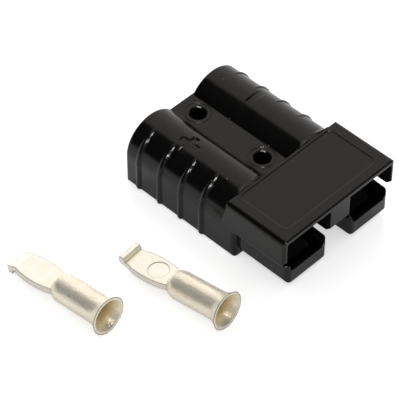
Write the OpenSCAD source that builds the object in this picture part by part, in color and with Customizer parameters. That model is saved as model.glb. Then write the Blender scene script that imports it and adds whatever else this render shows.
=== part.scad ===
// Genderless two-pole power connector: one moulded housing with two leaf springs, and its two
// crimp contacts lying loose beside it, as they are supplied.
// Origin: midway between the two mounting holes, on the surface that the housing stands on.
// +Y is the mating direction, +Z is up, +X is the positive pole's side.

/* [Housing body] */
// Distance between the centres of the two poles
pole_pitch = 20; // [19:0.5:24]
// Radius of each cable barrel, which is half of the body's height
barrel_r = 7.85; // [7.5:0.05:9]
// Overall length of the housing along the mating direction
body_l = 48.8; // [46:0.2:60]
// Height of the flat web between the barrels
web_h = 12.3; // [11:0.1:14]
// Rounding of the rear rim of each barrel
rim_r = 0.7; // [0.4:0.1:1]
// Rounding of the long bottom edges
sole_r = 0.5; // [0.3:0.1:0.8]
// Rounding of the upright edge where the body steps in behind the trays
step_r = 1.2; // [0.6:0.1:1.4]
// Diameter of each cable entry
bore_d = 11.4; // [10:0.2:12.4]
// Width of the lead-in at the mouth of each cable entry
lead_in = 0.7; // [0.4:0.1:1]
// Diameter of the two mounting holes
mount_hole_d = 3.9; // [3:0.1:5]
// Width of the bevel round the top of each mounting hole
mount_bevel = 0.25; // [0.1:0.05:0.4]
// Diameter of the ring that the mould's core pin leaves round each mounting hole
pin_ring_d = 6.3; // [5.8:0.1:6.6]
// Distance between the two mounting holes
mount_pitch = 20; // [16:0.5:20.5]
// Distance from the rear face to the rear mounting hole
mount_inset = 5.4; // [5:0.1:6]

/* [Grip ribs] */
// Number of grip ribs on each barrel
rib_count = 4; // [2:1:4]
// Distance from one rib to the next
rib_pitch = 6.57; // [5:0.01:6.6]
// Distance from the rear face to the first rib
rib_inset = 4.2; // [3:0.1:5]
// Radius of the round back of a rib
rib_r = 0.85; // [0.6:0.05:1.1]
// How far a rib stands out of the barrel's side
rib_out = 0.6; // [0.3:0.05:0.7]
// How far the top of a rib is sunk, so that it fades out below the crest
rib_fade = 0.15; // [0.1:0.05:0.3]

/* [Mating hood] */
// Length of the hood along the mating direction
hood_l = 17.4; // [16.5:0.1:20]
// Depth to which the other connector's trays enter
mate_depth = 14.7; // [12:0.1:15]
// Thickness of the hood's top plate
plate_t = 1.1; // [0.9:0.05:1.4]
// Thickness of the hood's side walls
hood_wall = 1.0; // [0.8:0.05:1.3]
// Width of the block between the two cavities
block_w = 6.1; // [5:0.1:6.4]
// Clearance that the mated halves leave above and below the middle plane
mate_gap = 0.15; // [0.1:0.05:0.3]
// Rounding of the hood's long top edges
hood_side_r = 1.2; // [0.8:0.1:1.5]
// Rounding of the hood's upright front edges
hood_corner_r = 0.8; // [0.4:0.1:1]
// Rounding of the hood's front and rear top edges
hood_edge_r = 0.4; // [0.3:0.05:0.6]
// Hollow rounding where the barrels run into the hood's rear face
cove_r = 1.3; // [0.8:0.1:1.6]
// Width of the sunk panel on top of the hood
panel_w = 29; // [24:0.5:31]
// Distance from the hood's rear edge to the panel
panel_rear = 0.8; // [0.6:0.1:2]
// Distance from the hood's front edge to the panel
panel_front = 2.6; // [1.5:0.1:4]
// Depth of the panel
panel_sunk = 0.12; // [0.05:0.01:0.2]
// Corner radius of the panel
panel_r = 1.5; // [0.8:0.1:2.5]
// Lead-in chamfer under the front of the walls and of the block
hood_lead = 1.2; // [0.8:0.1:1.8]

/* [Contact trays] */
// Gap between the two trays
tray_gap = 7.2; // [6.8:0.1:8]
// Distance that a tray is set in from the side of the body
tray_inset = 1.4; // [1.35:0.05:1.8]
// Height of the trays' underside, which clears the other connector's top plate
tray_lift = 1.5; // [1.3:0.05:1.9]
// Wall and floor thickness of a tray
tray_wall = 1.2; // [1:0.05:1.4]
// Height of a tray's front wall above the surface below
tray_front_h = 5.1; // [4.5:0.1:5.6]
// Height of a tray's side walls above the surface below
tray_side_h = 7.1; // [6.8:0.1:7.4]
// Drop of the side walls from back to front
tray_slope = 0.4; // [0.2:0.05:0.6]
// Rounding of a tray's long bottom edges
tray_r = 0.9; // [0.5:0.1:1.1]
// Rounding of a tray's upright corners
tray_corner_r = 1.4; // [0.8:0.1:1.6]
// Rounding where a tray's side walls come down at the front
tray_nose_r = 1.3; // [0.8:0.1:1.6]

/* [Leaf springs] */
// Width of a spring
spring_w = 7.6; // [6:0.1:8.4]
// Thickness of the spring strip
spring_t = 0.6; // [0.4:0.05:0.8]
// Length of the bowed part
spring_bow_l = 13; // [11:0.5:13.5]
// Height of the bow
spring_rise = 3.2; // [2.4:0.1:3.6]
// Length of the flat foot behind the bow
spring_foot = 4; // [3:0.1:5]
// Length of the flat toe in front of the bow
spring_toe = 1; // [0.6:0.1:1.4]

/* [Contacts] */
// Overall length of a contact
contact_l = 29; // [28:0.1:34]
// Outer diameter of the crimp barrel
crimp_od = 6.84; // [6.4:0.02:7.4]
// Bore of the crimp barrel
crimp_id = 5.4; // [4.8:0.1:5.6]
// Length of the crimp barrel up to its shoulder
crimp_l = 13; // [11:0.1:14]
// Length of the rounded shoulder
shoulder_l = 2.9; // [2:0.1:3.4]
// Outer diameter of the bell mouth
bell_d = 9.2; // [8.4:0.1:9.8]
// Length of the bell mouth
bell_l = 3.4; // [2.6:0.1:4]
// Thickness of the tongue
tongue_t = 1.6; // [1.4:0.1:2]
// Height of the tongue's contact face above the barrel's axis
tongue_face = 0.6; // [0.4:0.1:0.9]
// Greatest width of the tongue
tongue_w = 6.8; // [6:0.1:7.4]
// Width of the tongue where it leaves the barrel
root_w = 4.6; // [4:0.1:5.4]
// Width of the tongue at its tip
tip_w = 5.5; // [4.8:0.1:5.9]
// Rounding of the tip's corners
tip_r = 0.8; // [0.4:0.1:1.2]
// Length of the hooked tip
hook_l = 3.4; // [3:0.1:4]
// Depth of the hook below the tongue
hook_drop = 1.1; // [0.8:0.1:1.5]
// Distance from the bend to the hook's heel on the back of the tongue
heel_at = 1.0; // [0.8:0.1:1.3]
// Diameter of the round stamp on the back of the tongue
stamp_d = 4.8; // [4:0.1:5.4]
// Distance from the mouth to the middle of the stamp
stamp_at = 19.35; // [19:0.05:21]
// Depth of the stamp
stamp_sunk = 0.12; // [0.05:0.01:0.2]

/* [Loose contacts] */
// Place of the positive contact's mouth to the right of the mounting holes
positive_x = 51.6; // [46:0.1:70]
// Place of the positive contact's mouth in front of the mounting holes
positive_y = 14.4; // [0:0.1:30]
// Direction of the positive contact, in degrees
positive_turn = 2.1; // [-10:0.1:10]
// Place of the negative contact's mouth to the right of the mounting holes
negative_x = 32.8; // [30:0.1:36]
// Place of the negative contact's mouth in front of the mounting holes
negative_y = 31.5; // [20:0.1:40]
// Direction of the negative contact, in degrees
negative_turn = 4.7; // [-10:0.1:10]

/* [Hidden] */
$fn = 96;
over = 1;                                       // how far a cut runs past a face
body_h = 2 * barrel_r;
body_w = pole_pitch + 2 * barrel_r;
pole_x = pole_pitch / 2;
mid_z = body_h / 2;                             // the two mated halves meet here
hood_z = mid_z + mate_gap;
roof_z = body_h - plate_t;
tray_in = tray_gap / 2;
tray_out = body_w / 2 - tray_inset;
floor_z = tray_lift + tray_wall;
pocket_in = tray_in + tray_wall;
pocket_out = tray_out - tray_wall;
pocket_mid = (pocket_in + pocket_out) / 2;
pocket_r = 0.4;                                 // inner roundings of trays and passages
cavity_r = 0.5;                                 // rounding under the side of the hood's roof
lip_side = 0.3;                                 // how far a tray's front dip cuts into its sides
lip_r = 0.9;                                    // rounding of that dip
throat_top = mid_z + tongue_t + hook_drop - 0.3; // roof of the passage from bore to tray
throat_r = 2;                                   // rounding of the passage's roof
throat_l = 5.5;                                 // length of the passage
bore_end = mate_depth + throat_l;               // depth at which the round bore stops
ring_w = 0.2;                                   // width of the core pin's ring
ring_sunk = 0.08;                               // depth of that ring
rib_path = barrel_r - rib_r;
spring_gap = 0.9;                               // play in front of a spring
spring_front = tray_wall + spring_gap;
weld = 0.4;                                     // overlap of a spring's flat and bowed parts
bow_r = (pow(spring_bow_l / 2, 2) + pow(spring_rise, 2)) / (2 * spring_rise);
crimp_r = crimp_od / 2;
bell_r = bell_d / 2;
tongue_back = tongue_face - tongue_t;
shoulder_end = crimp_l + shoulder_l;
hook_at = contact_l - hook_l;
heel_run = 0.4;                                 // length of the slope down to the hook's heel
root_in = 0.5;                                  // how far the tongue starts inside the shoulder
root_at = crimp_l + shoulder_l / 2;             // where the tongue comes out of the shoulder
bore_back = 1;                                  // the crimp bore stops this far before the shoulder
bell_power = 2.2;                               // how late and fast the bell mouth flares
leaf_power = 0.7;                               // how full the tongue's leaf shape is
nose_r = 0.45;                                  // round end of the hook
hook_reach = contact_l - 2 * nose_r;            // how far back the hook's underside goes
on_shoulder = atan((bell_r - crimp_r) / crimp_l);
on_hook = atan((bell_r + tongue_back - hook_drop) / hook_reach);
mount_y = mount_inset + mount_pitch / 2 - body_l; // the mating edge's distance to the origin

// ---------- outlines ----------

// A quarter cut that rounds one corner of an outline, with the corner at the origin
module corner_cut(r, flip_x, flip_y) {
    mirror([flip_x, 0]) mirror([0, flip_y])
        difference() {
            translate([-over, -over]) square(r + over);
            translate([r, r]) circle(r);
        }
}

// Rectangle whose low-left, low-right, high-right and high-left corners have their own radii
module rounded(x0, y0, x1, y1, ll = 0, lr = 0, hr = 0, hl = 0) {
    difference() {
        translate([x0, y0]) square([x1 - x0, y1 - y0]);
        if (ll > 0) translate([x0, y0]) corner_cut(ll, 0, 0);
        if (lr > 0) translate([x1, y0]) corner_cut(lr, 1, 0);
        if (hr > 0) translate([x1, y1]) corner_cut(hr, 1, 1);
        if (hl > 0) translate([x0, y1]) corner_cut(hl, 0, 1);
    }
}

// Extrude an outline drawn in X and Z from y0 to y1
module along_y(y0, y1) {
    translate([0, y1, 0]) rotate([90, 0, 0]) linear_extrude(y1 - y0) children();
}

// Extrude an outline drawn in Y and Z from x0 to x1
module along_x(x0, x1) {
    translate([x0, 0, 0]) rotate([90, 0, 90]) linear_extrude(x1 - x0) children();
}

// Extrude an outline drawn in X and Y from z0 to z1
module along_z(z0, z1) {
    translate([0, 0, z0]) linear_extrude(z1 - z0) children();
}

// Move what is drawn from the mating edge to its place about the origin
module from_mating_edge() {
    translate([0, -mount_y, 0]) children();
}

// A child for each pole: as drawn on the positive side, mirrored on the negative side
module both_poles() {
    children();
    mirror([1, 0, 0]) children();
}

// ---------- housing ----------

// One cable barrel: round above, straight-sided and flat-soled below
module barrel() {
    translate([pole_x, -body_l, mid_z]) rotate([-90, 0, 0])
        rotate_extrude()
            rounded(0, 0, barrel_r, body_l - hood_l + over, lr = rim_r);
    intersection() {
        along_z(0, mid_z)
            rounded(0, -body_l, pole_x + barrel_r, -mate_depth, lr = rim_r, hr = step_r);
        along_y(-body_l, -mate_depth)
            rounded(0, 0, pole_x + barrel_r, mid_z, lr = sole_r);
    }
}

// One grip rib: half round, from below the crest over the outer side down to the sole
module rib() {
    foot_x = rib_out + rib_path;
    translate([pole_x, 0, mid_z - rib_fade]) {
        translate([rib_out, 0, 0]) rotate([90, 0, 0])
            rotate_extrude(angle = 90)
                translate([rib_path, 0]) circle(rib_r);
        translate([foot_x, 0, rib_r + rib_fade - mid_z]) {
            cylinder(r = rib_r, h = mid_z - rib_r - rib_fade);
            sphere(rib_r);
        }
    }
}

// The wide head: a rounded slab over the whole mating end, still solid
module hood_slab() {
    intersection() {
        along_y(-hood_l, 0)
            rounded(-body_w / 2, mid_z, body_w / 2, body_h, hr = hood_side_r, hl = hood_side_r);
        along_z(mid_z, body_h)
            rounded(-body_w / 2, -hood_l, body_w / 2, 0, hr = hood_corner_r, hl = hood_corner_r);
        along_x(-body_w / 2, body_w / 2)
            rounded(-hood_l, mid_z, 0, body_h, hr = hood_edge_r, hl = hood_edge_r);
    }
}

// Hollow rounding round each barrel where it runs into the hood's rear face
module barrel_cove() {
    intersection() {
        translate([pole_x, -hood_l, mid_z]) rotate([90, 0, 0])
            rotate_extrude()
                difference() {
                    square([barrel_r + cove_r, cove_r]);
                    translate([barrel_r + cove_r, cove_r]) circle(cove_r);
                }
        along_y(-hood_l - cove_r, -hood_l)
            rounded(0, mid_z, body_w / 2, body_h, hr = hood_side_r);
    }
}

// Shallow panel sunk into the top of the hood
module hood_panel() {
    along_z(body_h - panel_sunk, body_h + over)
        rounded(-panel_w / 2, -hood_l + panel_rear, panel_w / 2, -panel_front,
                ll = panel_r, lr = panel_r, hr = panel_r, hl = panel_r);
}

// What is hollowed out of the head: a cavity over each tray, and the lead-in below the front edge
module hood_cavities() {
    both_poles()
        along_y(-mate_depth - mate_gap, over)
            rounded(block_w / 2, mid_z - over, body_w / 2 - hood_wall, roof_z, hr = cavity_r);
    along_x(-body_w / 2 - over, body_w / 2 + over) {
        translate([-mate_depth - mate_gap, mid_z - over])
            square([mate_depth + mate_gap + over, mate_gap + over]);
        polygon([[-hood_lead, mid_z], [-hood_lead, hood_z], [0, hood_z + hood_lead],
                 [over, hood_z + hood_lead], [over, mid_z]]);
    }
}

// One contact tray, open above, with a low front wall and sloping side walls
module tray() {
    difference() {
        intersection() {
            along_y(-mate_depth - over, 0)
                rounded(tray_in, tray_lift, tray_out, tray_side_h, ll = tray_r, lr = tray_r);
            along_z(tray_lift, tray_side_h)
                rounded(tray_in, -mate_depth - over, tray_out, 0,
                        hr = tray_corner_r, hl = tray_corner_r);
            along_x(tray_in, tray_out)
                difference() {
                    rounded(-mate_depth - over, tray_lift, 0, tray_side_h, hr = tray_nose_r);
                    polygon([[over, tray_side_h - tray_slope], [0, tray_side_h - tray_slope],
                             [-mate_depth / 2, tray_side_h], [over, tray_side_h + over]]);
                }
        }
        intersection() {
            along_y(-mate_depth - 2 * over, -tray_wall)
                rounded(pocket_in, floor_z, pocket_out, tray_side_h + over,
                        ll = pocket_r, lr = pocket_r);
            along_z(floor_z, tray_side_h + over)
                rounded(pocket_in, -mate_depth - 2 * over, pocket_out, -tray_wall,
                        hr = pocket_r, hl = pocket_r);
        }
        along_y(-tray_wall - over, over)
            rounded(pocket_in - lip_side, tray_front_h, pocket_out + lip_side,
                    tray_side_h + over, ll = lip_r, lr = lip_r);
    }
}

// Cable entry with its lead-in, and the passage that takes the contact on into the tray
module pole_passage() {
    translate([pole_x, -body_l, mid_z]) rotate([-90, 0, 0]) {
        translate([0, 0, -over]) cylinder(d = bore_d, h = body_l - bore_end + over);
        translate([0, 0, -over])
            cylinder(d1 = bore_d + 2 * (lead_in + over), d2 = bore_d, h = lead_in + over);
    }
    along_y(-bore_end - over, -mate_depth + over)
        rounded(pocket_in, floor_z, pocket_out, throat_top,
                ll = pocket_r, lr = pocket_r, hr = throat_r, hl = throat_r);
}

// Two bevelled holes through the web, each in the faint ring of the mould's core pin
module mounting_holes() {
    for (i = [0, 1])
        translate([0, -body_l + mount_inset + i * mount_pitch, 0]) {
            translate([0, 0, -over]) cylinder(d = mount_hole_d, h = web_h + 2 * over);
            translate([0, 0, web_h - mount_bevel])
                cylinder(d1 = mount_hole_d, d2 = mount_hole_d + 2 * (mount_bevel + over),
                         h = mount_bevel + over);
            translate([0, 0, web_h - ring_sunk])
                difference() {
                    cylinder(d = pin_ring_d + ring_w, h = ring_sunk + over);
                    translate([0, 0, -over]) cylinder(d = pin_ring_d - ring_w, h = 3 * over);
                }
        }
}

module housing() {
    color([0.05, 0.05, 0.055]) from_mating_edge()
        difference() {
            union() {
                both_poles() barrel();
                along_y(-body_l, -hood_l + over)
                    translate([-pole_x, 0]) square([pole_pitch, web_h]);
                along_y(-hood_l - over, -mate_depth)
                    translate([-pole_x, 0]) square([pole_pitch, mid_z + over]);
                both_poles()
                    for (i = [0 : rib_count - 1])
                        translate([0, -body_l + rib_inset + i * rib_pitch, 0]) rib();
                difference() {
                    hood_slab();
                    hood_cavities();
                }
                both_poles() barrel_cove();
                both_poles() tray();
            }
            hood_panel();
            both_poles() pole_passage();
            mounting_holes();
        }
}

// ---------- leaf springs ----------

// Side view of a spring: foot, bow and toe, as a strip of even thickness
module spring_outline() {
    bow_mid = -spring_front - spring_toe - spring_bow_l / 2;
    bow_base = floor_z + spring_rise - bow_r;
    translate([bow_mid - spring_bow_l / 2 - spring_foot, floor_z])
        square([spring_foot + weld, spring_t]);
    translate([bow_mid + spring_bow_l / 2 - weld, floor_z])
        square([spring_toe + weld, spring_t]);
    intersection() {
        difference() {
            translate([bow_mid, bow_base]) circle(bow_r + spring_t);
            translate([bow_mid, bow_base]) circle(bow_r);
        }
        translate([bow_mid - spring_bow_l / 2, floor_z])
            square([spring_bow_l, spring_rise + spring_t + over]);
    }
}

module leaf_spring() {
    along_x(pocket_mid - spring_w / 2, pocket_mid + spring_w / 2) spring_outline();
}

module positive_spring() {
    color([0.72, 0.72, 0.7]) from_mating_edge() leaf_spring();
}

module negative_spring() {
    color([0.72, 0.72, 0.7]) from_mating_edge() mirror([1, 0, 0]) leaf_spring();
}

// ---------- contacts ----------

// Bell mouth: radius of the flared skin at distance s behind the mouth
function bell_grow(s) = (bell_r - crimp_r) * pow(1 - min(s, bell_l) / bell_l, bell_power);

// Half width of the tongue at distance s behind the mouth
function tongue_half(s) =
    let (part = min(max((s - root_at) / (hook_at - root_at), 0), 1))
    (root_w + (tip_w - root_w) * part) / 2
    + (tongue_w - (root_w + tip_w) / 2) / 2 * pow(sin(180 * part), leaf_power);

// Crimp barrel with its bell mouth and rounded shoulder, as a turned profile
module crimp_profile() {
    bell_steps = 12;
    dome_steps = 10;
    polygon(concat(
        [for (i = [0 : bell_steps])
            let (s = bell_l * i / bell_steps) [crimp_r + bell_grow(s), s]],
        [for (i = [0 : dome_steps - 1])
            let (a = 90 * i / dome_steps) [crimp_r * cos(a), crimp_l + shoulder_l * sin(a)]],
        [[0, shoulder_end], [0, crimp_l - bore_back], [crimp_id / 2, crimp_l - bore_back]],
        [for (i = [bell_steps : -1 : 0])
            let (s = bell_l * i / bell_steps) [crimp_id / 2 + bell_grow(s), s]]));
}

// Flat tongue seen from above, with s running away from the mouth along X
module tongue_plan() {
    steps = 28;
    start = crimp_l - root_in;
    s_of = [for (i = [0 : steps]) start + (hook_at - start) * i / steps];
    polygon(concat(
        [for (s = s_of) [s, tongue_half(s)]],
        [for (i = [steps : -1 : 0]) [s_of[i], -tongue_half(s_of[i])]]));
    rounded(hook_at - root_in, -tip_w / 2, contact_l, tip_w / 2, lr = tip_r, hr = tip_r);
}

// Tongue seen from the side: flat strip, then a slope down to the rounded hook
module tongue_side() {
    heel = hook_at + heel_at;
    polygon([[crimp_l - root_in, tongue_back], [heel, tongue_back],
             [heel + heel_run, tongue_back - hook_drop],
             [hook_reach, tongue_back - hook_drop],
             [contact_l, tongue_back - nose_r / 2],
             [contact_l - nose_r / 2, tongue_back + nose_r],
             [hook_at, tongue_face], [crimp_l - root_in, tongue_face]]);
}

// A contact with its mouth at the origin, pointing along +Y, contact face up
module contact() {
    rotate([0, 0, -90]) {
        rotate([0, 90, 0]) rotate_extrude() crimp_profile();
        difference() {
            intersection() {
                along_z(-bell_r, bell_r) tongue_plan();
                along_y(-tongue_w, tongue_w) tongue_side();
            }
            translate([stamp_at, 0, tongue_back - over])
                cylinder(d = stamp_d, h = stamp_sunk + over);
        }
    }
}

// A contact lying on the lowest point of its mouth's rim and on whatever touches down behind it
module lying_contact(x, y, turn, tilt, roll) {
    translate([x, y, 0]) rotate([0, 0, turn]) rotate([tilt, 0, 0])
        translate([0, 0, bell_r]) rotate([0, roll, 0]) contact();
}

// The positive contact lies contact face up, hook down
module positive_contact() {
    color([0.86, 0.84, 0.78])
        lying_contact(positive_x, positive_y, positive_turn, min(on_shoulder, on_hook), 0);
}

// The negative contact lies contact face down, hook up
module negative_contact() {
    color([0.86, 0.84, 0.78])
        lying_contact(negative_x, negative_y, negative_turn, on_shoulder, 180);
}

housing();
positive_spring();
negative_spring();
positive_contact();
negative_contact();
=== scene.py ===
# %% [markdown]
# # A genderless power connector and its two crimp contacts
# The housing is one black plastic moulding with a hood, two trays and two grip barrels. Leaf
# springs sit in the trays. Two silver-plated contacts lie beside it, as they come in the bag.
# The solids come from the CAD model. Blender adds what the eye reads as material: glossy
# moulded plastic, tumbled silver plate, rolled spring steel, and the engraved polarity signs.

# %% Load the fixed frame
import math

import bmesh
import bpy
from mathutils import Matrix, Vector
from mathutils.bvhtree import BVHTree
from mathutils.interpolate import poly_3d_calc


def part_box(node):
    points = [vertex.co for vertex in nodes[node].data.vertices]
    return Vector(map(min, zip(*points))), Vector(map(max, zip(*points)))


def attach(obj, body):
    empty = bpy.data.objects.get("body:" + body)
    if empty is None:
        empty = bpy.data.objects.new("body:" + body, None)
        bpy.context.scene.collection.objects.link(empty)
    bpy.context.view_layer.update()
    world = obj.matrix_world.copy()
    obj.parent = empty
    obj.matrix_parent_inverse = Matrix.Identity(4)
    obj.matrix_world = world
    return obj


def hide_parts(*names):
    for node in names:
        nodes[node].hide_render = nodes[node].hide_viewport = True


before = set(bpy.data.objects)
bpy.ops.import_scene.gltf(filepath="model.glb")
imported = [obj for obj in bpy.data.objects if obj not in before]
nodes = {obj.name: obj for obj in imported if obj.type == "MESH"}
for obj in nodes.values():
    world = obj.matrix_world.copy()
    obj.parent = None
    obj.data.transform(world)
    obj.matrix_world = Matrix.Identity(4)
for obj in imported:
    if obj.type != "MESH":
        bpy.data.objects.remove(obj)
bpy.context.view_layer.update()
MM = 0.001
print("CAD nodes:", ", ".join(sorted(nodes)))

# %% [markdown]
# ## The camera
# A long lens a good half metre away keeps the perspective mild, as in a catalogue picture.
# The camera looks down at 47 degrees on the mating corner, so hood, trays and ribs all show.

# %% Set the camera
def look_from(place, target, lens):
    """Make the scene's camera. Its place and target are in millimetres."""
    data = bpy.data.cameras.new("camera")
    data.lens = lens
    data.sensor_width = 36
    data.clip_start = 0.02
    camera = bpy.data.objects.new("camera", data)
    bpy.context.scene.collection.objects.link(camera)
    away = Vector(place) - Vector(target)
    camera.location = Vector(place) * MM
    camera.rotation_euler = away.to_track_quat("Z", "Y").to_euler()
    bpy.context.scene.camera = camera
    return away.length

distance = look_from(place=(267.65, 253.89, 384.32), target=(15.71, 6.04, 7.50), lens=209.95)
print(f"camera {distance:.0f} mm away")

# %% [markdown]
# ## Node helpers
# Each finish is a small tree of nodes. A few helpers keep the cells short: they start a
# material, add a node with its values, make a noise pattern sized in millimetres, stretch a
# value to a new range, soften edges and add relief. All sizes are given in millimetres and
# turned into the scene's metres here.

# %% Node helpers
def add_node(tree, kind, inputs=(), **settings):
    """Add a node, set its properties, and fill or link its inputs."""
    node = tree.nodes.new(kind)
    for name, value in settings.items():
        setattr(node, name, value)
    for key, value in dict(inputs).items():
        if isinstance(value, bpy.types.NodeSocket):
            tree.links.new(value, node.inputs[key])
        else:
            node.inputs[key].default_value = value
    return node


def start_material(name, **sockets):
    """A new material with its Principled shader. Underscores in sockets stand for spaces."""
    material = bpy.data.materials.new(name)
    material.use_nodes = True
    tree = material.node_tree
    tree.nodes.clear()
    shader = tree.nodes.new("ShaderNodeBsdfPrincipled")
    for key, value in sockets.items():
        shader.inputs[key.replace("_", " ")].default_value = value
    output = tree.nodes.new("ShaderNodeOutputMaterial")
    tree.links.new(shader.outputs[0], output.inputs["Surface"])
    return material, tree, shader


def object_place(tree, stretch=(1, 1, 1)):
    """Where a point lies on the object, optionally stretched along the axes."""
    place = add_node(tree, "ShaderNodeTexCoord").outputs["Object"]
    if stretch == (1, 1, 1):
        return place
    return add_node(tree, "ShaderNodeMapping", {"Vector": place, "Scale": stretch}).outputs[0]


def noise(tree, size_mm, detail=3.0, stretch=(1, 1, 1)):
    """A cloudy pattern with features about size_mm wide."""
    return add_node(tree, "ShaderNodeTexNoise",
                    {"Vector": object_place(tree, stretch), "Scale": 1 / (size_mm * MM),
                     "Detail": detail}).outputs["Fac"]


def ramp(tree, value, low, high, to_low=0.0, to_high=1.0):
    """Stretch the part of value between low and high to a new range."""
    return add_node(tree, "ShaderNodeMapRange",
                    {"Value": value, "From Min": low, "From Max": high,
                     "To Min": to_low, "To Max": to_high}).outputs[0]


def soft_normal(tree, radius_mm, samples):
    """The surface's direction as if each sharp edge were rounded to that radius."""
    return add_node(tree, "ShaderNodeBevel", {"Radius": radius_mm * MM},
                    samples=samples).outputs[0]


def bump(tree, height, normal, strength, depth_mm):
    """The direction normal, tilted by the relief that height draws. None: the plain surface."""
    values = {"Height": height, "Strength": strength, "Distance": depth_mm * MM}
    if normal is not None:
        values["Normal"] = normal
    return add_node(tree, "ShaderNodeBump", values).outputs[0]


def maths(tree, operation, a, b):
    """Add, multiply or compare two values."""
    return add_node(tree, "ShaderNodeMath", {0: a, 1: b}, operation=operation).outputs[0]


def blend_colours(tree, share, a, b):
    """From colour a to colour b as share goes from 0 to 1."""
    mix = add_node(tree, "ShaderNodeMix", data_type="RGBA")
    # A Mix node has sockets A, B and Result for each kind of data, so these go by their place.
    share_in, a_in, b_in, result = mix.inputs[0], mix.inputs[6], mix.inputs[7], mix.outputs[2]
    tree.links.new(share, share_in)
    for socket, colour in ((a_in, a), (b_in, b)):
        if isinstance(colour, bpy.types.NodeSocket):
            tree.links.new(colour, socket)
        else:
            socket.default_value = (*colour, 1)
    return result

print("helpers ready")

# %% [markdown]
# ## The studio
# Glossy black plastic shows the room more than itself, so the room is what gets designed.
# A large softbox stands behind the object, and flat tops and barrel crests carry it as a soft
# grey. The rest of the ceiling and the side walls are dark, and they draw the black bands down
# the barrels and along the hood's edge. The table and the backdrop are white.
# The world does this with the ray's direction, and only for what surfaces mirror. To the camera
# it is plain white, and as light on rough surfaces it is one even tone. Cycles also picks world
# directions on its own, and those would bring the even tone into the mirrored part, so that
# sampling is switched off.

# %% Design the mirrored room
SOFTBOX_AIM = (-0.55, -0.54, 0.64)
BACKDROP_AIM = (-0.70, -0.66, 0.12)
WINDOW_AIM = (0.52, 0.52, 0.45)
DOWN = (0, 0, -1)
WHITE = (1, 1, 1)
SOFTBOX_TINT = (1.0, 0.95, 0.90)


def toward(tree, aim, inner, outer):
    """1 where a ray points within inner degrees of aim, fading to 0 at outer degrees."""
    ray = add_node(tree, "ShaderNodeTexCoord").outputs["Generated"]
    facing = add_node(tree, "ShaderNodeVectorMath", {0: ray, 1: Vector(aim).normalized()},
                      operation="DOT_PRODUCT").outputs["Value"]
    return add_node(tree, "ShaderNodeMapRange",
                    {"Value": facing, "From Min": math.cos(math.radians(outer)),
                     "From Max": math.cos(math.radians(inner))},
                    interpolation_type="SMOOTHSTEP").outputs[0]


def studio_world(softbox=0.95, backdrop=1.0, window=0.35, dark_room=0.02, even_light=0.72):
    """White to the camera, an even tone to rough surfaces, a studio to mirroring ones."""
    world = bpy.data.worlds.new("studio")
    world.cycles.sampling_method = "NONE"
    bpy.context.scene.world = world
    world.use_nodes = True
    tree = world.node_tree
    tree.nodes.clear()
    box = maths(tree, "MULTIPLY", toward(tree, SOFTBOX_AIM, inner=32, outer=40), softbox)
    wall = maths(tree, "MAXIMUM", toward(tree, DOWN, inner=86, outer=96),
                 toward(tree, BACKDROP_AIM, inner=34, outer=44))
    wall = maths(tree, "MULTIPLY", wall, backdrop)
    front = maths(tree, "MULTIPLY", toward(tree, WINDOW_AIM, inner=26, outer=46), window)
    mirrored = maths(tree, "MAXIMUM", maths(tree, "MAXIMUM", box, wall), dark_room)
    mirrored = maths(tree, "MAXIMUM", mirrored, front)
    path = add_node(tree, "ShaderNodeLightPath")
    lit = add_node(tree, "ShaderNodeMix", {"Factor": path.outputs["Is Glossy Ray"],
                                           "A": even_light, "B": mirrored}).outputs[0]
    seen = maths(tree, "MAXIMUM", path.outputs["Is Camera Ray"],
                 path.outputs["Is Transmission Ray"])
    strength = add_node(tree, "ShaderNodeMix", {"Factor": seen, "A": lit, "B": 1.0}).outputs[0]
    warm = maths(tree, "MULTIPLY", path.outputs["Is Glossy Ray"], box)
    colour = blend_colours(tree, warm, WHITE, SOFTBOX_TINT)
    background = add_node(tree, "ShaderNodeBackground", {"Strength": strength, "Color": colour})
    output = add_node(tree, "ShaderNodeOutputWorld")
    tree.links.new(background.outputs[0], output.inputs["Surface"])

studio_world()
print("room designed, softbox toward", SOFTBOX_AIM)

# %% [markdown]
# ## The lamps
# One wide lamp stands where the softbox is and casts the soft shadow. It is hidden from
# reflections, because the world already shows the softbox there. Two small bare lamps give
# the plastic its sparkle: a glossy rib or the lip of an engraved sign mirrors each one as a
# tiny bright point. Silver mirrors ten times as much, so those two would burn it out. Each
# lamp is therefore linked to what it is meant for, and a third, gentler one puts the glint in
# the contacts' mouths.

# %% Hang the lamps
def hang_lamp(name, aim, away, width, height, radiance):
    """An oval lamp in the direction aim. Lengths are in millimetres, its width lies along X."""
    data = bpy.data.lights.new(name, "AREA")
    data.shape = "ELLIPSE"
    data.size, data.size_y = width * MM, height * MM
    data.energy = radiance * math.pi * (math.pi / 4 * data.size * data.size_y)
    lamp = bpy.data.objects.new(name, data)
    bpy.context.scene.collection.objects.link(lamp)
    back = Vector(aim).normalized()
    side = (Vector((1, 0, 0)) - back * back.x).normalized()
    turn = Matrix((side, back.cross(side), back)).transposed()
    lamp.matrix_world = Matrix.Translation(back * away * MM) @ turn.to_4x4()
    return lamp

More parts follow.
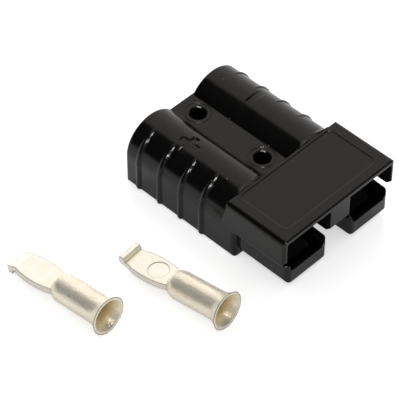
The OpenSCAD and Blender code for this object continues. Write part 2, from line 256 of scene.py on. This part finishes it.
softbox_lamp = hang_lamp("softbox_lamp", SOFTBOX_AIM, away=850,
                         width=420, height=420, radiance=7.3)
softbox_lamp.visible_glossy = False
high_lamp = hang_lamp("high_lamp", (0.20, 0.18, 0.96), away=700,
                      width=260, height=90, radiance=90)
side_lamp = hang_lamp("side_lamp", (0.65, 0.20, 0.73), away=700,
                      width=110, height=100, radiance=100)
mouth_lamp = hang_lamp("mouth_lamp", (0.20, 0.30, 0.93), away=700,
                       width=120, height=120, radiance=14)
sparkling = bpy.data.collections.new("sparkling_plastic")
plated = bpy.data.collections.new("plated_metal")
for lamp, lit_group in ((high_lamp, sparkling), (side_lamp, sparkling), (mouth_lamp, plated)):
    lamp.visible_diffuse = False
    lamp.light_linking.receiver_collection = lit_group
print("lamps:", ", ".join(sorted(light.name for light in bpy.data.lights)))

# %% [markdown]
# ## The table
# A pale matt sheet lies under everything. The object's light alone would leave it grey, so its
# material adds some white of its own, but only for rays from the camera and for mirrored ones.
# It throws no extra light on the object, and the shadow stays.

# %% Lay the table
def table_material(own_white=0.55, mirrored_white=0.15, colour=0.8):
    """Pale matt sheet that shows as white and keeps the shadows."""
    material, tree, shader = start_material("pale_table", Base_Color=(colour, colour, colour, 1),
                                            Roughness=0.9, Specular_IOR_Level=0.1,
                                            Emission_Color=(*WHITE, 1))
    path = add_node(tree, "ShaderNodeLightPath")
    seen = maths(tree, "MAXIMUM", path.outputs["Is Camera Ray"],
                 path.outputs["Is Transmission Ray"])
    seen = maths(tree, "MULTIPLY", seen, own_white)
    mirrored = maths(tree, "MULTIPLY", path.outputs["Is Glossy Ray"], mirrored_white)
    tree.links.new(maths(tree, "ADD", seen, mirrored), shader.inputs["Emission Strength"])
    return material


def lay_table(half_width=3.0, drop_mm=0.02):
    """One large flat sheet a hair below what lies on it. Its half width is in metres."""
    bm = bmesh.new()
    bmesh.ops.create_grid(bm, x_segments=1, y_segments=1, size=half_width)
    bmesh.ops.translate(bm, verts=bm.verts, vec=(0, 0, -drop_mm * MM))
    mesh = bpy.data.meshes.new("table")
    bm.to_mesh(mesh)
    bm.free()
    mesh.materials.append(table_material())
    table = bpy.data.objects.new("table", mesh)
    bpy.context.scene.collection.objects.link(table)

lay_table()
print("table laid")

# %% [markdown]
# ## The engraved polarity signs
# A plus and a minus are engraved in the crests of the barrels. In the mould each one is a
# thin raised block, so in the plastic it is a shallow recess with upright walls and a floor
# that follows the barrel.
# The recess could be faked with bump, but then the mesh itself would not have it. So the
# housing is copied, its doubled points are merged, and a cutter takes the sign out of it.
# The cutter is a flat grid in the sign's shape, bent to the barrel and extruded upwards.

# %% Sizes of a sign
hood_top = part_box("housing")[1].z
barrel_r = hood_top / 2
pole_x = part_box("housing")[1].x - barrel_r
sign = {"length": 5.3 * MM, "bar": 1.65 * MM, "depth": 0.25 * MM, "y": -2.2 * MM}
print(f"barrel radius {barrel_r / MM:.2f} mm, poles {pole_x / MM:.1f} mm off the middle")

# %% Make a sign's cutter
HAIR = 1e-7  # metres; points nearer than this to a cutting plane count as on it


def sign_cutter(name, x, bars, cells=12, height_mm=1.5):
    """A block in the sign's shape, with its floor bent to the barrel, just below the crest."""
    half, bar = sign["length"] / 2, sign["bar"] / 2
    bm = bmesh.new()
    bmesh.ops.create_grid(bm, x_segments=cells, y_segments=cells, size=half)
    for across in (bar, -bar):
        for axis in (Vector((1, 0, 0)), Vector((0, 1, 0))):
            bmesh.ops.bisect_plane(bm, geom=bm.verts[:] + bm.edges[:] + bm.faces[:],
                                   plane_co=axis * across, plane_no=axis, dist=HAIR)
    outside = [face for face in bm.faces
               if not (abs(face.calc_center_median().y) < bar
                       or "upright" in bars and abs(face.calc_center_median().x) < bar)]
    bmesh.ops.delete(bm, geom=outside, context="FACES")
    floor = bm.faces[:]
    top = bmesh.ops.extrude_face_region(bm, geom=floor)["geom"]
    raised = [v for v in top if isinstance(v, bmesh.types.BMVert)]
    floor_r = barrel_r - sign["depth"]
    for vert in bm.verts:
        vert.co.z = barrel_r + math.sqrt(floor_r ** 2 - vert.co.x ** 2)
    bmesh.ops.translate(bm, verts=raised, vec=(0, 0, height_mm * MM))
    bmesh.ops.translate(bm, verts=bm.verts, vec=(x, sign["y"], 0))
    bmesh.ops.recalc_face_normals(bm, faces=bm.faces)
    mesh = bpy.data.meshes.new(name)
    bm.to_mesh(mesh)
    bm.free()
    cutter = bpy.data.objects.new(name, mesh)
    bpy.context.scene.collection.objects.link(cutter)
    return cutter

cutters = [sign_cutter("plus_cutter", pole_x, ("level", "upright")),
           sign_cutter("minus_cutter", -pole_x, ("level",))]
print("cutters:", [len(cutter.data.polygons) for cutter in cutters], "faces")

# %% [markdown]
# ### Cutting, and keeping the smooth shading
# The CAD mesh carries the true surface's normal at each corner, and a plain copy that has been
# cut loses them. So after the cut each corner looks up the CAD triangle that it lies on and
# takes its normal from there. Only the new walls keep the flat normal of their own face.

# %% Cut the signs and keep the shading
def merged_copy(source, name):
    """A closed copy of a CAD node's loose triangles."""
    bm = bmesh.new()
    bm.from_mesh(source.data)
    bmesh.ops.remove_doubles(bm, verts=bm.verts, dist=0.001 * MM)
    mesh = bpy.data.meshes.new(name)
    bm.to_mesh(mesh)
    bm.free()
    piece = bpy.data.objects.new(name, mesh)
    bpy.context.scene.collection.objects.link(piece)
    return piece


def cut_with(piece, tools):
    """Take each tool out of the piece, bake the result in its mesh, and clear the tools."""
    for cutter in tools:
        cut = piece.modifiers.new(cutter.name, "BOOLEAN")
        cut.operation = "DIFFERENCE"
        cut.solver = "EXACT"
        cut.object = cutter
    graph = bpy.context.evaluated_depsgraph_get()
    result = bpy.data.meshes.new_from_object(piece.evaluated_get(graph))
    piece.modifiers.clear()
    piece.data = result
    for cutter in tools:
        bpy.data.objects.remove(cutter)


def corner_normals(mesh):
    """The normal at each corner of a mesh, face by face."""
    return [corner.vector.copy() for corner in mesh.corner_normals]


def keep_shading(piece, source, inwards=0.02, same_way=0.5):
    """Give each corner of the piece the normal that the source has at that point.

    A corner on an edge belongs to several triangles, so the search starts a little inwards,
    at that share of the way to the face's middle. A face that turns away from what it finds
    by more than same_way allows, as a cosine, is a new wall.
    """
    mesh, old = piece.data, source.data
    points = [v.co.copy() for v in old.vertices]
    triangles = [tuple(face.vertices) for face in old.polygons]
    old_normals = corner_normals(old)
    lookup = BVHTree.FromPolygons(points, triangles)
    normals = []
    for face in mesh.polygons:
        face.use_smooth = True
        for index in face.vertices:
            corner = mesh.vertices[index].co
            inside = corner.lerp(face.center, inwards)
            found = lookup.find_nearest(inside)[2]
            weights = poly_3d_calc([points[i] for i in triangles[found]], corner)
            start = old.polygons[found].loop_start
            normal = sum((w * old_normals[start + k] for k, w in enumerate(weights)), Vector())
            kept = normal.dot(face.normal) > same_way
            normals.append(normal.normalized() if kept else face.normal.copy())
    mesh.normals_split_custom_set(normals)

housing = merged_copy(nodes["housing"], "engraved_housing")
cut_with(housing, cutters)
keep_shading(housing, nodes["housing"])
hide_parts("housing")
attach(housing, "root")
sparkling.objects.link(housing)
print(f"housing engraved: {len(housing.data.polygons)} faces")

# %% [markdown]
# ## Moulded plastic
# The housing is black polycarbonate from a polished mould. Almost no light comes from its
# colour, so the finish is all in how it mirrors: nearly sharp, with a faint ripple where the
# plastic shrank, a fine grain, patches that are a little duller, and softened edges. A few
# specks of dust always settle on such a part.

# %% Make the moulded plastic
BLACK_RESIN = (0.0030, 0.0028, 0.0026)
DUST_GREY = (0.35, 0.34, 0.32)


def dust(tree, spacing_mm, size_mm, share):
    """1 on small specks, 0 elsewhere. share is how many of the places hold a speck."""
    cells = add_node(tree, "ShaderNodeTexVoronoi",
                     {"Vector": object_place(tree), "Scale": 1 / (spacing_mm * MM)})
    near = size_mm / spacing_mm
    speck = ramp(tree, cells.outputs["Distance"], low=near, high=0.5 * near)
    lucky = add_node(tree, "ShaderNodeSeparateColor", {"Color": cells.outputs["Color"]})
    chosen = maths(tree, "LESS_THAN", lucky.outputs[0], share)
    return maths(tree, "MULTIPLY", speck, chosen)


def moulded_plastic(name):
    """Glossy black moulding."""
    material, tree, shader = start_material(name, Specular_IOR_Level=0.32)
    specks = dust(tree, spacing_mm=2.0, size_mm=0.13, share=0.3)
    tree.links.new(blend_colours(tree, specks, BLACK_RESIN, DUST_GREY),
                   shader.inputs["Base Color"])
    patches = noise(tree, size_mm=5.0, detail=5.0)
    tree.links.new(ramp(tree, patches, 0.35, 0.7, to_low=0.13, to_high=0.19),
                   shader.inputs["Roughness"])
    soft_edge = soft_normal(tree, radius_mm=0.4, samples=6)
    ripple = bump(tree, noise(tree, size_mm=6.0, detail=2.0), soft_edge,
                  strength=0.5, depth_mm=0.05)
    grain = bump(tree, noise(tree, size_mm=0.45), ripple, strength=0.3, depth_mm=0.03)
    tree.links.new(grain, shader.inputs["Normal"])
    return material

housing.data.materials.clear()
housing.data.materials.append(moulded_plastic("moulded_black"))
print("housing finished in", housing.data.materials[0].name)

# %% [markdown]
# ## Silver plate and spring steel
# A contact's tongue is coined flat between dies, so it is the smoother part. Its crimp barrel
# keeps the pebbled grain of the tumbling drum, which breaks each reflection into light and dark
# specks. The grain is a bump, because single pebbles are far smaller than a triangle. A dark
# line
# is painted along each softened edge: painted shade for the dark room that the edge's rounding
# mirrors. A mouth looks golden because light bounces between its silver walls several times:
# that is blended in by how open the surface is.
# Tarnish and many small facets scatter light, so the shader is only partly metallic.
# The springs are rolled strip, whose grain is a set of fine lines along it. Their colour is
# darkened far below steel's as painted shade, because nothing bright is seen in the trays.

# %% Make the metals
SILVER = {"coined": (0.90, 0.855, 0.765), "coined_dull": (0.85, 0.79, 0.68),
          "pebbled": (0.99, 0.92, 0.78), "pit": (0.74, 0.64, 0.46),
          "hollow": (0.98, 0.84, 0.54), "painted_edge_shade": (0.15, 0.12, 0.075)}
# Painted shade: far darker than bare steel, for the shade that lies on the springs in the trays.
PAINTED_SHADE_STEEL = (0.12, 0.115, 0.11)


def edge_share(tree, soft_edge):
    """0 on open surfaces, rising to 1 at the middle of a softened edge."""
    own_normal = add_node(tree, "ShaderNodeNewGeometry").outputs["Normal"]
    same = add_node(tree, "ShaderNodeVectorMath", {0: soft_edge, 1: own_normal},
                    operation="DOT_PRODUCT").outputs["Value"]
    return ramp(tree, same, low=0.985, high=0.80)


def hollow_share(tree, reach_mm):
    """0 on open surfaces, rising towards 1 deep in a bore or a mouth."""
    open_sky = add_node(tree, "ShaderNodeAmbientOcclusion", {"Distance": reach_mm * MM},
                        samples=8, only_local=True).outputs["AO"]
    return ramp(tree, open_sky, low=0.97, high=0.45)


def tumbled_silver(name, shoulder_y, fade_mm=1.2):
    """Warm silver plate: pebbled on the barrel in front of shoulder_y, coined flat behind it."""
    material, tree, shader = start_material(name)
    depth = add_node(tree, "ShaderNodeSeparateXYZ", {0: object_place(tree)}).outputs["Y"]
    on_barrel = ramp(tree, depth, shoulder_y - fade_mm * MM, shoulder_y)

    def by_part(tongue, barrel):
        """One value on the tongue and another on the barrel."""
        return ramp(tree, on_barrel, 0, 1, to_low=tongue, to_high=barrel)

    hollow = hollow_share(tree, reach_mm=6.0)
    soft_edge = soft_normal(tree, radius_mm=0.45, samples=8)
    clouds = ramp(tree, noise(tree, size_mm=2.5, detail=5.0), 0.35, 0.7)
    pebbles = noise(tree, size_mm=0.42)
    pits = maths(tree, "MULTIPLY", ramp(tree, pebbles, 0.52, 0.36), by_part(0.05, 0.5))
    # Painted shade: a dark line along each softened edge, for the dark room that its rounding
    # mirrors.
    painted_edge_shade = maths(tree, "MULTIPLY", edge_share(tree, soft_edge), 0.85)
    plate = blend_colours(tree, clouds, SILVER["coined"], SILVER["coined_dull"])
    for share, colour in ((on_barrel, "pebbled"), (pits, "pit"), (hollow, "hollow"),
                          (painted_edge_shade, "painted_edge_shade")):
        plate = blend_colours(tree, share, plate, SILVER[colour])
    tree.links.new(plate, shader.inputs["Base Color"])
    metal = maths(tree, "MULTIPLY", by_part(0.25, 0.60), ramp(tree, hollow, 0, 1, 1.0, 0.6))
    tree.links.new(metal, shader.inputs["Metallic"])
    tree.links.new(by_part(0.20, 0.26), shader.inputs["Roughness"])
    relief = maths(tree, "MULTIPLY", pebbles, by_part(0.15, 1.0))
    tree.links.new(bump(tree, relief, soft_edge, strength=1.0, depth_mm=0.11),
                   shader.inputs["Normal"])
    return material


def spring_steel(name):
    """Rolled strip with fine lines along it, its colour darkened as painted shade."""
    material, tree, shader = start_material(name, Metallic=1.0, Base_Color=(*PAINTED_SHADE_STEEL, 1))
    lines = noise(tree, size_mm=0.5, stretch=(6, 0.4, 1))
    tree.links.new(ramp(tree, lines, 0.3, 0.7, to_low=0.08, to_high=0.16),
                   shader.inputs["Roughness"])
    tree.links.new(bump(tree, lines, None, strength=0.1, depth_mm=0.02),
                   shader.inputs["Normal"])
    return material

crimp_barrel_l = 14.5 * MM  # with half of the shoulder
steel = spring_steel("rolled_spring_steel")
for name in ("positive_contact", "negative_contact"):
    shoulder_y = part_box(name)[1].y - crimp_barrel_l
    nodes[name].material_slots[0].material = tumbled_silver(name + "_silver", shoulder_y)
    plated.objects.link(nodes[name])
for name in ("positive_spring", "negative_spring"):
    nodes[name].material_slots[0].material = steel
print("metals on contacts and springs")

# %% Set the view transform
bpy.context.scene.view_settings.view_transform = "Standard"
